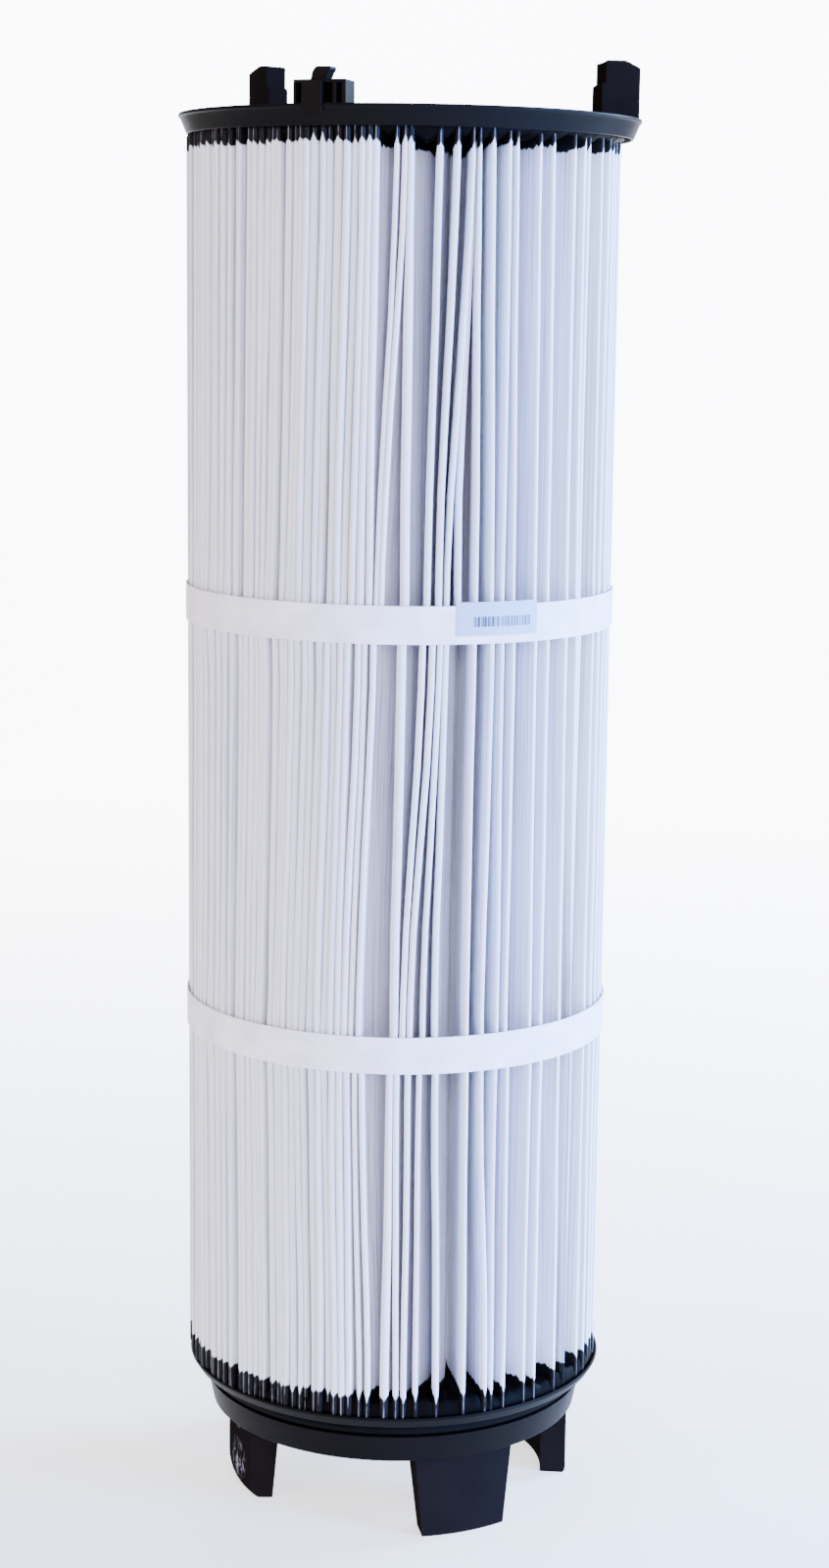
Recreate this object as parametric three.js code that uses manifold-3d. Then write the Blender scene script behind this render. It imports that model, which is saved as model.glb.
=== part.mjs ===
// Pleated cylindrical filter cartridge for a modular pool filter: the inner element of the pair.
// Millimetres, +Z up. The origin is on the cartridge's axis, at the plane of the foot tips.
// Angles are in degrees round the axis: 0 faces -Y and positive turns towards +X.

import * as THREE from 'three';
import { mergeVertices } from 'three/addons/utils/BufferGeometryUtils.js';
import Module from 'manifold-3d';

const wasm = await Module();
wasm.setup();

// ---- Driving dimensions ----

const FIT_GAP = 0.3;                // clearance between any two touching pieces
const RING_SEGMENTS = 48;           // facets round a turned ring
const STRAP_SEGMENTS = 64;          // more facets, so that a strap clears every fold under it

const MEDIA_OUTER_RADIUS = 123;     // outer folds of the pleats
const MEDIA_INNER_RADIUS = 76;      // inner folds, just outside the core
const MEDIA_THICKNESS = 0.7;        // non-woven polyester
const PLEAT_COUNT = 128;

const CORE_OUTER_RADIUS = 74;
const CORE_INNER_RADIUS = 70;
const CORE_SECTION_COUNT = 3;
const CORE_COLUMNS = 8;             // windows round one section
const CORE_ROWS = 4;                // windows up one section
const CORE_FACETS_PER_COLUMN = 4;
const CORE_RIB_WIDTH = 13;          // plastic left between two columns
const CORE_HOOP_HEIGHT = 9;         // plastic left between two rows

const BORE_RADIUS = 66;             // the open way through both end caps
const SPIGOT_RADIUS = 69.2;         // the collar of each cap, inside the core's end

const FOOT_HEIGHT = 49.7;           // foot tips to the underside of the seal ring
const SEAL_RING_TOP = 65.6;         // lower side of the O-ring groove
const GROOVE_TOP = 74.7;            // upper side of the groove, the underside of the bottom flange
const BOTTOM_PAN_FLOOR = 77.6;      // the potting lies on this
const BOTTOM_RIM_WIDEST = 79.8;
const BOTTOM_RIM_TOP = 81.2;
const BOTTOM_POTTING_TOP = 90;
const TOP_POTTING_BOTTOM = 794;
const TOP_SKIRT_BOTTOM = 799.2;
const TOP_PLATE_UNDERSIDE = 803;
const TOP_PLATE_FACE = 807;
const TOP_LIP = 810.4;              // the body's upper edge, without the lugs

const TOP_LIP_RADIUS = 131.4;
const TOP_SKIRT_RADIUS = 126.7;
const BOTTOM_FLANGE_RADIUS = 124.2;
const GROOVE_RADIUS = 106;
const SEAL_RING_RADIUS = 113.5;

const FOOT_ROOT_HALF_ANGLE = 17.6;
const FOOT_TIP_HALF_ANGLE = 14.1;
const FOOT_SKEW = -14;              // the ends of a foot are cut at this angle from its radius
const FEET = [                      // centre angle, radii, and the rounding of the tip's outer edge
  { name: 'foot_front', angle: 23.8, inner: 88, outer: 104.5, tipRound: 0.8 },
  { name: 'foot_right', angle: 98.5, inner: 91, outer: 106.5, tipRound: 2 },
  { name: 'foot_back', angle: 198, inner: 88, outer: 104.5, tipRound: 2 },
  { name: 'foot_left', angle: -74, inner: 88, outer: 100.5, tipRound: 6.5 },
];
const FOOT_ROOT_STEP = 1.5;         // the inner face steps in by this much above the seal ring's underside

const CHANNEL_INNER_RADIUS = 82;    // the ribbed channel under the bottom cap, which the feet stand in
const CHANNEL_OUTER_RADIUS = 103.8;
const CHANNEL_MOUTH_RADIUS = 107.4; // wider, inside the seal ring
const CHANNEL_MOUTH_TOP = 63;

const LUG_TOP = 844;
const LUG_OUTER_RADIUS = 130;
const LUG_CHAMFER_RUN = 8.3;        // the slope down to the outer face of a lug
const LUG_CHAMFER_DROP = 4.2;
const LUG_STEP_TOP = 832;           // the inner face stands further in below this
const LUGS = [                      // two widths, so that the cap fits its manifold one way only
  { name: 'locating_lug_right', angle: 97, halfAngle: 7.6, inner: 110.3 },
  { name: 'locating_lug_left', angle: -135.8, halfAngle: 3.9, inner: 115 },
];

const LATCH_ANGLE = -21.7;          // centre of the keeper block between the two lugs
const LATCH_HALF_ANGLE = 6.6;
const LATCH_TOP = 822.6;
const LATCH_OUTER_RADIUS = 131.2;
const LATCH_INNER_RADIUS = 114;

const STRAP_HEIGHT = 21;
const STRAP_THICKNESS = 0.8;
const STRAP_LOWER_BOTTOM = 284.2;
const STRAP_UPPER_BOTTOM = 525;
const STRAP_RADIUS = MEDIA_OUTER_RADIUS + MEDIA_THICKNESS / 2 + FIT_GAP;
const SPLICE_ANGLE = 171;           // the welded overlap of each strap, at the back

// ---- Materials ----

const finish = (color, roughness, metalness = 0) =>
  new THREE.MeshStandardMaterial({ color, roughness, metalness });

const filterCloth = finish(0xe6e8ee, 0.9);
const strapWeb = finish(0xebe8ea, 0.85);
const corePlastic = finish(0xe9e8e4, 0.5);
const capPlastic = finish(0x1b1b20, 0.35);
const pottingResin = finish(0x0c0c0e, 0.3);
const sealRubber = finish(0x101011, 0.6);
const labelPaper = finish(0xcfdceb, 0.5);

// ---- Shape helpers ----

const radians = (degrees) => (degrees * Math.PI) / 180;

// A point at a radius and an angle, with angle 0 on -Y.
const polar = (radius, degrees) =>
  new THREE.Vector2(radius * Math.sin(radians(degrees)), -radius * Math.cos(radians(degrees)));

// A ring turned round Z from a closed outline of [radius, height] points.
function turned(outline, segments = RING_SEGMENTS) {
  const points = [...outline, outline[0]].map(([radius, height]) => new THREE.Vector2(radius, height));
  const area = THREE.ShapeUtils.area(points.slice(0, -1));
  if (area < 0) points.reverse();
  return new THREE.LatheGeometry(points, segments).rotateX(Math.PI / 2);
}

// A curved plate: part of a ring between two radii and two angles, from one height to another.
function arcPlate(innerRadius, outerRadius, fromAngle, toAngle, bottom, top) {
  const steps = Math.max(2, Math.ceil((toAngle - fromAngle) / 4));
  const angleAt = (i) => fromAngle + ((toAngle - fromAngle) * i) / steps;
  const points = [];
  for (let i = 0; i <= steps; i++) points.push(polar(outerRadius, angleAt(i)));
  for (let i = steps; i >= 0; i--) points.push(polar(innerRadius, angleAt(i)));
  const depth = top - bottom;
  return new THREE.ExtrudeGeometry(new THREE.Shape(points), { depth, bevelEnabled: false })
    .translate(0, 0, bottom);
}

// A prism that stands off the axis at an angle: its outline is [sideways, height], seen from outside,
// and it runs from one distance to another along the radius.
function radialPrism(outline, near, far, degrees) {
  const shape = new THREE.Shape(outline.map(([side, height]) => new THREE.Vector2(side, height)));
  return new THREE.ExtrudeGeometry(shape, { depth: far - near, bevelEnabled: false })
    .rotateX(Math.PI / 2)
    .translate(0, -near, 0)
    .rotateZ(radians(degrees));
}

function toSolid(geometry) {
  const bare = geometry.clone();
  bare.deleteAttribute('normal');
  bare.deleteAttribute('uv');
  const merged = mergeVertices(bare, 1e-4);
  const vertProperties = new Float32Array(merged.attributes.position.array);
  const triVerts = new Uint32Array(merged.index.array);
  return new wasm.Manifold(new wasm.Mesh({ numProp: 3, vertProperties, triVerts }));
}

function toGeometry(solid) {
  const mesh = solid.getMesh();
  const geometry = new THREE.BufferGeometry();
  geometry.setAttribute('position', new THREE.BufferAttribute(new Float32Array(mesh.vertProperties), 3));
  geometry.setIndex(new THREE.BufferAttribute(new Uint32Array(mesh.triVerts), 1));
  geometry.computeVertexNormals();
  return geometry;
}

const cartridge = new THREE.Group();

function addPiece(name, geometry, material) {
  const mesh = new THREE.Mesh(geometry, material);
  mesh.name = name;
  cartridge.add(mesh);
}

// ---- Pleated media: one long cloth folded to and fro into a ring ----

// The wall's two sides. Each fold is a short flat, so that the cloth keeps its thickness round it.
function pleatOutline(offset) {
  const pitch = 360 / PLEAT_COUNT;
  const halfFlat = MEDIA_THICKNESS * 0.75;
  const points = [];
  for (let i = 0; i < PLEAT_COUNT; i++) {
    const tip = i * pitch;
    const valley = tip + pitch / 2;
    const outerHalf = THREE.MathUtils.radToDeg((halfFlat + offset) / MEDIA_OUTER_RADIUS);
    const innerHalf = THREE.MathUtils.radToDeg((halfFlat - offset) / MEDIA_INNER_RADIUS);
    points.push(polar(MEDIA_OUTER_RADIUS + offset, tip - outerHalf));
    points.push(polar(MEDIA_OUTER_RADIUS + offset, tip + outerHalf));
    points.push(polar(MEDIA_INNER_RADIUS + offset, valley - innerHalf));
    points.push(polar(MEDIA_INNER_RADIUS + offset, valley + innerHalf));
  }
  return points;
}

const mediaBottom = BOTTOM_POTTING_TOP + FIT_GAP;
const mediaTop = TOP_POTTING_BOTTOM - FIT_GAP;
const mediaShape = new THREE.Shape(pleatOutline(MEDIA_THICKNESS / 2));
mediaShape.holes.push(new THREE.Path(pleatOutline(-MEDIA_THICKNESS / 2)));
addPiece(
  'pleated_media',
  new THREE.ExtrudeGeometry(mediaShape, { depth: mediaTop - mediaBottom, bevelEnabled: false })
    .translate(0, 0, mediaBottom),
  filterCloth,
);

// ---- Core: moulded cage sections stacked inside the pleats, which keep them from collapsing ----

const coreBottom = BOTTOM_PAN_FLOOR + FIT_GAP;
const coreTop = TOP_PLATE_UNDERSIDE - FIT_GAP;
const sectionPitch = (coreTop - coreBottom + FIT_GAP) / CORE_SECTION_COUNT;
const sectionHeight = sectionPitch - FIT_GAP;

function coreSection(bottom) {
  const top = bottom + sectionHeight;
  const wall = turned([
    [CORE_INNER_RADIUS, bottom],
    [CORE_OUTER_RADIUS, bottom],
    [CORE_OUTER_RADIUS, top],
    [CORE_INNER_RADIUS, top],
  ], CORE_COLUMNS * CORE_FACETS_PER_COLUMN);
  let cage = toSolid(wall);
  const windowWidth = (2 * Math.PI * CORE_OUTER_RADIUS) / CORE_COLUMNS - CORE_RIB_WIDTH;
  const rowPitch = (sectionHeight - CORE_HOOP_HEIGHT) / CORE_ROWS;
  for (let column = 0; column < CORE_COLUMNS; column++) {
    for (let row = 0; row < CORE_ROWS; row++) {
      const low = bottom + CORE_HOOP_HEIGHT + row * rowPitch;
      const high = low + rowPitch - CORE_HOOP_HEIGHT;
      const outline = [
        [-windowWidth / 2, low],
        [windowWidth / 2, low],
        [windowWidth / 2, high],
        [-windowWidth / 2, high],
      ];
      const angle = ((column + 0.5) * 360) / CORE_COLUMNS;
      cage = cage.subtract(toSolid(radialPrism(outline, CORE_INNER_RADIUS * 0.7, CORE_OUTER_RADIUS + 4, angle)));
    }
  }
  return toGeometry(cage);
}

['lower', 'middle', 'upper'].forEach((place, i) => {
  addPiece(`core_section_${place}`, coreSection(coreBottom + i * sectionPitch), corePlastic);
});

// ---- Potting: the resin that seals the pleat ends and the core into each cap ----

const pottingInner = CORE_OUTER_RADIUS + FIT_GAP + 0.1;
const pottingOuter = MEDIA_OUTER_RADIUS - 0.8;

addPiece('bottom_potting', turned([
  [pottingInner, BOTTOM_PAN_FLOOR + FIT_GAP],
  [pottingOuter - 0.6, BOTTOM_PAN_FLOOR + FIT_GAP],
  [pottingOuter, BOTTOM_RIM_TOP + 1],
  [pottingOuter, BOTTOM_POTTING_TOP],
  [pottingInner, BOTTOM_POTTING_TOP],
]), pottingResin);

addPiece('top_potting', turned([
  [pottingInner, TOP_POTTING_BOTTOM],
  [pottingOuter, TOP_POTTING_BOTTOM],
  [pottingOuter, TOP_PLATE_UNDERSIDE - FIT_GAP],
  [pottingInner, TOP_PLATE_UNDERSIDE - FIT_GAP],
]), pottingResin);

// ---- Top end cap: an open ring with a flared skirt, a raised lip and a collar into the core ----

addPiece('top_end_cap', turned([
  [TOP_SKIRT_RADIUS, TOP_SKIRT_BOTTOM],
  [TOP_LIP_RADIUS - 1.2, TOP_LIP - 2.6],
  [TOP_LIP_RADIUS, TOP_LIP - 1.6],
  [TOP_LIP_RADIUS, TOP_LIP],
  [TOP_LIP_RADIUS - 0.8, TOP_LIP],
  [TOP_LIP_RADIUS - 0.8, TOP_PLATE_FACE],
  [BORE_RADIUS + 9, TOP_PLATE_FACE],
  [BORE_RADIUS + 9, TOP_LIP],
  [BORE_RADIUS, TOP_LIP],
  [BORE_RADIUS, TOP_POTTING_BOTTOM],
  [SPIGOT_RADIUS, TOP_POTTING_BOTTOM],
  [SPIGOT_RADIUS, TOP_PLATE_UNDERSIDE],
  [MEDIA_OUTER_RADIUS + 1.2, TOP_PLATE_UNDERSIDE],
  [MEDIA_OUTER_RADIUS + 1.2, TOP_SKIRT_BOTTOM],
]), capPlastic);

// ---- Locating lugs: two tall curved uprights on the top cap ----

const lugFoot = TOP_PLATE_FACE + FIT_GAP;

function locatingLug({ angle, halfAngle, inner }) {
  const upright = arcPlate(inner, LUG_OUTER_RADIUS, angle - halfAngle, angle + halfAngle, lugFoot, LUG_TOP);
  const inwardStep = arcPlate(
    inner - 2.2, inner + 2, angle - halfAngle * 0.8, angle + halfAngle * 0.8, lugFoot, LUG_STEP_TOP,
  );
  const chamfer = turned([
    [LUG_OUTER_RADIUS - LUG_CHAMFER_RUN, LUG_TOP],
    [LUG_OUTER_RADIUS + 1, LUG_TOP - LUG_CHAMFER_DROP * (1 + 1 / LUG_CHAMFER_RUN)],
    [LUG_OUTER_RADIUS + 3, LUG_TOP - LUG_CHAMFER_DROP],
    [LUG_OUTER_RADIUS + 3, LUG_TOP + 2],
    [LUG_OUTER_RADIUS - LUG_CHAMFER_RUN, LUG_TOP + 2],
  ], 120);
  return toGeometry(toSolid(upright).add(toSolid(inwardStep)).subtract(toSolid(chamfer)));
}

for (const each of LUGS) addPiece(each.name, locatingLug(each), capPlastic);

// ---- Latch keeper: a hollowed block at the lip, with a front panel and a hooked finger on top ----

function latchKeeper() {
  const left = LATCH_ANGLE - LATCH_HALF_ANGLE;
  const right = LATCH_ANGLE + LATCH_HALF_ANGLE;
  const panelLeft = left + 2.5;
  const panelRight = panelLeft + 5.1;
  const pocketTop = LATCH_TOP - 1.7;
  const pocketFloor = TOP_LIP + FIT_GAP;
  let block = toSolid(
    arcPlate(LATCH_INNER_RADIUS, TOP_LIP_RADIUS - 1.2, left, right, lugFoot, LATCH_TOP),
  );
  const overLip = arcPlate(
    TOP_LIP_RADIUS - 3, LATCH_OUTER_RADIUS, left, right, TOP_LIP + FIT_GAP, LATCH_TOP,
  );
  block = block.add(toSolid(overLip));
  const pockets = [
    [left + 0.8, panelLeft],
    [panelRight, panelRight + 2.4],
    [panelRight + 3.3, right - 1],
  ];
  for (const [from, to] of pockets) {
    const pocket = arcPlate(LATCH_INNER_RADIUS + 9, LATCH_OUTER_RADIUS + 2, from, to, pocketFloor, pocketTop);
    block = block.subtract(toSolid(pocket));
  }
  const frontPanel = arcPlate(
    TOP_LIP_RADIUS + FIT_GAP, TOP_LIP_RADIUS + 1.4, panelLeft, panelRight, TOP_LIP - 4.6, LATCH_TOP - 0.6,
  );
  const panelRoot = arcPlate(
    LATCH_OUTER_RADIUS - 2, TOP_LIP_RADIUS + 1, panelLeft, panelRight, TOP_LIP + FIT_GAP, LATCH_TOP - 0.6,
  );
  return toGeometry(block.add(toSolid(frontPanel)).add(toSolid(panelRoot)));
}

addPiece('latch_keeper', latchKeeper(), capPlastic);

const fingerFoot = LATCH_TOP + FIT_GAP;
const fingerTop = fingerFoot + 6.6;
addPiece('latch_finger', radialPrism([
  [-6.8, fingerFoot],
  [1.6, fingerFoot],
  [3.4, fingerTop - 3.2],
  [4.6, fingerTop - 1.6],
  [4.6, fingerTop],
  [-3.6, fingerTop],
  [-5.4, fingerTop - 2],
], LATCH_INNER_RADIUS + 4, LATCH_INNER_RADIUS + 13, LATCH_ANGLE), capPlastic);

// ---- Bottom end cap: pan and flange, O-ring groove, tapered seal ring, ribbed channel underneath ----

const hubWall = 2.5;                // between the channel and the core's collar
const collarDrop = 8;               // the collar below the pan
const ribBottom = FOOT_HEIGHT + 6;

function bottomEndCap() {
  let cap = toSolid(turned([
    [BORE_RADIUS, GROOVE_TOP - collarDrop],
    [SPIGOT_RADIUS, GROOVE_TOP - collarDrop],
    [SPIGOT_RADIUS, GROOVE_TOP],
    [CHANNEL_INNER_RADIUS - hubWall, GROOVE_TOP],
    [CHANNEL_INNER_RADIUS - hubWall, ribBottom],
    [CHANNEL_INNER_RADIUS, ribBottom],
    [CHANNEL_INNER_RADIUS, GROOVE_TOP],
    [CHANNEL_OUTER_RADIUS, GROOVE_TOP],
    [CHANNEL_OUTER_RADIUS, CHANNEL_MOUTH_TOP],
    [CHANNEL_MOUTH_RADIUS, CHANNEL_MOUTH_TOP],
    [CHANNEL_MOUTH_RADIUS, FOOT_HEIGHT],
    [SEAL_RING_RADIUS - 3.3, FOOT_HEIGHT],
    [SEAL_RING_RADIUS, SEAL_RING_TOP],
    [GROOVE_RADIUS, SEAL_RING_TOP],
    [GROOVE_RADIUS, GROOVE_TOP],
    [BOTTOM_FLANGE_RADIUS - 3.2, GROOVE_TOP],
    [BOTTOM_FLANGE_RADIUS, BOTTOM_RIM_WIDEST],
    [BOTTOM_FLANGE_RADIUS - 0.4, BOTTOM_RIM_TOP],
    [pottingOuter + 0.6, BOTTOM_RIM_TOP],
    [pottingOuter, BOTTOM_PAN_FLOOR],
    [SPIGOT_RADIUS, BOTTOM_PAN_FLOOR],
    [SPIGOT_RADIUS, BOTTOM_POTTING_TOP - 2],
    [BORE_RADIUS, BOTTOM_POTTING_TOP - 2],
  ]));
  const ribHalf = 1.25;
  FEET.forEach(({ angle }, i) => {
    const gapToNext = (FEET[(i + 1) % FEET.length].angle - angle + 360) % 360;
    for (const share of [0.4, 0.53, 0.67]) {
      const rib = radialPrism([
        [-ribHalf, ribBottom],
        [ribHalf, ribBottom],
        [ribHalf, GROOVE_TOP + 1],
        [-ribHalf, GROOVE_TOP + 1],
      ], CHANNEL_INNER_RADIUS - 1, CHANNEL_OUTER_RADIUS + 1, angle + share * gapToNext);
      cap = cap.add(toSolid(rib));
    }
  });
  return toGeometry(cap);
}

addPiece('bottom_end_cap', bottomEndCap(), capPlastic);

// ---- Feet: four tapered curved plates that stand out of the channel ----

function foot({ angle, inner, outer, tipRound }) {
  const roundSteps = 4;
  const footTop = GROOVE_TOP - FIT_GAP;
  const rootOuter = Math.min(outer, CHANNEL_OUTER_RADIUS - 2 * FIT_GAP);
  const outline = [[rootOuter, footTop], [rootOuter, CHANNEL_MOUTH_TOP - FIT_GAP]];
  if (outer > rootOuter) outline.push([outer, CHANNEL_MOUTH_TOP - FIT_GAP]);
  for (let i = 0; i <= roundSteps; i++) {
    const turn = (Math.PI / 2) * (i / roundSteps);
    outline.push([
      outer - tipRound + tipRound * Math.cos(turn),
      2 * tipRound - 2 * tipRound * Math.sin(turn),
    ]);
  }
  outline.push([inner, 0]);
  outline.push([inner, FOOT_HEIGHT - 12]);
  outline.push([inner - FOOT_ROOT_STEP, FOOT_HEIGHT]);
  outline.push([inner - FOOT_ROOT_STEP, footTop]);
  const rootHalf = outer * Math.sin(radians(FOOT_ROOT_HALF_ANGLE));
  const tipHalf = outer * Math.sin(radians(FOOT_TIP_HALF_ANGLE));
  const sides = radialPrism([
    [-tipHalf, -1],
    [tipHalf, -1],
    [rootHalf, FOOT_HEIGHT],
    [rootHalf, GROOVE_TOP],
    [-rootHalf, GROOVE_TOP],
    [-rootHalf, FOOT_HEIGHT],
  ], inner * 0.7, outer + 5, 0)
    .translate(0, outer, 0)
    .rotateZ(radians(FOOT_SKEW))
    .translate(0, -outer, 0)
    .rotateZ(radians(angle));
  return toGeometry(toSolid(turned(outline, 96)).intersect(toSolid(sides)));
}

for (const each of FEET) addPiece(each.name, foot(each), capPlastic);

// ---- O-ring in the groove between the flange and the seal ring ----

const oringRadius = 4;
const oringCentre = [GROOVE_RADIUS + FIT_GAP + oringRadius, (GROOVE_TOP + SEAL_RING_TOP) / 2];
const oringSides = 8;
addPiece('bottom_o_ring', turned(
  Array.from({ length: oringSides }, (_, i) => {
    const turn = ((i + 0.5) / oringSides) * 2 * Math.PI;
    return [oringCentre[0] + oringRadius * Math.cos(turn), oringCentre[1] + oringRadius * Math.sin(turn)];
  }),
), sealRubber);

// ---- Straps round the pleats, each with its welded overlap, and the label on the upper one ----

function strapBand(bottom) {
  return turned([
    [STRAP_RADIUS, bottom],
    [STRAP_RADIUS + STRAP_THICKNESS, bottom],
    [STRAP_RADIUS + STRAP_THICKNESS, bottom + STRAP_HEIGHT],
    [STRAP_RADIUS, bottom + STRAP_HEIGHT],
  ], STRAP_SEGMENTS);
}

const onStrap = STRAP_RADIUS + STRAP_THICKNESS + FIT_GAP;
const spliceHalfAngle = 9;
for (const [place, bottom] of [['upper', STRAP_UPPER_BOTTOM], ['lower', STRAP_LOWER_BOTTOM]]) {
  addPiece(`strap_${place}`, strapBand(bottom), strapWeb);
  addPiece(`strap_${place}_overlap`, arcPlate(
    onStrap, onStrap + STRAP_THICKNESS, SPLICE_ANGLE - spliceHalfAngle, SPLICE_ANGLE + spliceHalfAngle,
    bottom + 0.5, bottom + STRAP_HEIGHT - 0.5,
  ), strapWeb);
}

const LABEL_HEIGHT = 18.5;
const labelFrom = 14;
const labelTo = 36;
const labelBottom = STRAP_UPPER_BOTTOM + 4.5;
addPiece('label', arcPlate(
  onStrap, onStrap + 0.3, labelFrom, labelTo, labelBottom, labelBottom + LABEL_HEIGHT,
), labelPaper);

export default cartridge;
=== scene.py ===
"""Looks of a pleated pool filter cartridge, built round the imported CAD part.

Metres, +Z up. The origin is on the cartridge's axis, in the plane of the foot tips.
Angles are in degrees round the axis: 0 faces -Y, towards the camera, and positive turns towards +X.
Sizes are written in millimetres and brought to metres as each piece is finished.
"""

import math
import random

import bmesh
import bpy
from mathutils import Matrix, Vector


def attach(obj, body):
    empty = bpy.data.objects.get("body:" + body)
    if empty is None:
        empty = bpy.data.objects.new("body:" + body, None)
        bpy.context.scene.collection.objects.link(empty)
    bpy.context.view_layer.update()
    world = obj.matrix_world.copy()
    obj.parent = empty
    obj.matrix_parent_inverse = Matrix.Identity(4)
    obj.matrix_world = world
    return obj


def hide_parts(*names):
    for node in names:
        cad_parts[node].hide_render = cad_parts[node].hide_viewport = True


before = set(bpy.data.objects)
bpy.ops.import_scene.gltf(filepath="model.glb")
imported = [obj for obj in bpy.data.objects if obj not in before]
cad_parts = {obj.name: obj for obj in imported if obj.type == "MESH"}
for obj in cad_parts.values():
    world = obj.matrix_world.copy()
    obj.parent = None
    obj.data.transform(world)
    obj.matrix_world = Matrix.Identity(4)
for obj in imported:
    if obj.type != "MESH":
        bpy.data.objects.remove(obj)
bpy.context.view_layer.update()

# ---- Core ----
# Three moulded cage sections stacked inside the pleats, which keep the media from collapsing inwards.
# Injection moulded white polypropylene, with hoops, eight ribs and rows of open windows.
# Only seen through the two end openings.

core_outer = 74
core_inner = 70
core_bottom = 77.9
core_top = 802.7
core_sections = ("lower", "middle", "upper")
core_columns = 8
core_rows = 4
rib_width = 13
hoop_height = 9


def spot(radius, degrees, height):
    """A point in millimetres at a radius and an angle round the axis."""
    turn = math.radians(degrees)
    return Vector((radius * math.sin(turn), -radius * math.cos(turn), height))


def soften(bm, size, steps, sharp=28):
    """Rounds every edge that turns by more than the given angle, as a mould does."""
    hard = [e for e in bm.edges if e.calc_face_angle(0) > math.radians(sharp)]
    bmesh.ops.bevel(
        bm, geom=hard, offset=size, offset_type="OFFSET", segments=steps, profile=0.5,
        affect="EDGES", clamp_overlap=True, material=-1,
    )


def swept(outline, start=0, sweep=360, steps=144):
    """A solid from a closed [radius, height] outline, carried round the axis."""
    bm = bmesh.new()
    corners = [bm.verts.new(spot(radius, start, height)) for radius, height in outline]
    edges = [bm.edges.new((corners[i - 1], corners[i])) for i in range(len(corners))]
    bmesh.ops.spin(
        bm, geom=corners + edges, cent=(0, 0, 0), axis=(0, 0, 1), angle=math.radians(sweep),
        steps=steps, use_merge=sweep == 360,
    )
    if sweep != 360:
        bmesh.ops.edgeloop_fill(bm, edges=[e for e in bm.edges if e.is_boundary])
    bmesh.ops.remove_doubles(bm, verts=bm.verts, dist=0.001)
    bmesh.ops.recalc_face_normals(bm, faces=bm.faces)
    return bm


def join_in(bm, part):
    """Adds one bmesh to another and frees it."""
    spare = bpy.data.meshes.new("spare")
    part.to_mesh(spare)
    part.free()
    bm.from_mesh(spare)
    bpy.data.meshes.remove(spare)


def piece(name, bm, material, nodes, weighted=True):
    """Brings a finished bmesh to metres, and makes it the piece that stands for its CAD nodes."""
    bmesh.ops.scale(bm, vec=(0.001, 0.001, 0.001), verts=bm.verts)
    mesh = bpy.data.meshes.new(name)
    bm.to_mesh(mesh)
    bm.free()
    mesh.materials.append(material)
    mesh.shade_smooth()
    made = bpy.data.objects.new(name, mesh)
    bpy.context.scene.collection.objects.link(made)
    if weighted:
        made.modifiers.new("even shading", "WEIGHTED_NORMAL").keep_sharp = True
    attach(made, "root")
    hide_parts(*nodes)
    return made


def colour(code, alpha=1.0):
    """A hex sRGB colour as linear RGBA."""
    parts = [int(code[i:i + 2], 16) / 255 for i in (1, 3, 5)]
    linear = [c / 12.92 if c <= 0.04045 else ((c + 0.055) / 1.055) ** 2.4 for c in parts]
    return (*linear, alpha)


def node(tree, kind, settings=None, links=None):
    """Adds a shader node. Settings go to its sockets or its own properties, links feed its sockets."""
    made = tree.nodes.new("ShaderNode" + kind)
    for key, value in (settings or {}).items():
        if isinstance(key, int) or key in made.inputs:
            made.inputs[key].default_value = value
        else:
            setattr(made, key, value)
    for key, source in (links or {}).items():
        tree.links.new(source, made.inputs[key])
    return made


def new_material(name, constants):
    """A material whose shader starts from constant values. Returns it with its tree and shader."""
    material = bpy.data.materials.new(name)
    material.use_nodes = True
    shader = material.node_tree.nodes["Principled BSDF"]
    for key, value in constants.items():
        shader.inputs[key].default_value = value
    return material, material.node_tree, shader


# Polypropylene straight from the mould: slightly waxy, with faint flow marks up the section.
core_plastic, tree, shader = new_material("moulded_polypropylene", {"Roughness": 0.46, "IOR": 1.49})
place = node(tree, "TexCoord").outputs["Object"]
flow = node(tree, "Mapping", {"Scale": (30, 30, 6)}, {"Vector": place}).outputs["Vector"]
marks = node(tree, "TexNoise", {"Scale": 1, "Detail": 3}, {"Vector": flow}).outputs["Fac"]
tint = node(tree, "MixRGB", {"Color1": colour("#E4E3DE"), "Color2": colour("#F0EFEB")}, {"Fac": marks})
tree.links.new(tint.outputs["Color"], shader.inputs["Base Color"])
dents = node(tree, "Bump", {"Strength": 0.2, "Distance": 0.0003}, {"Height": marks})
tree.links.new(dents.outputs["Normal"], shader.inputs["Normal"])

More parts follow.
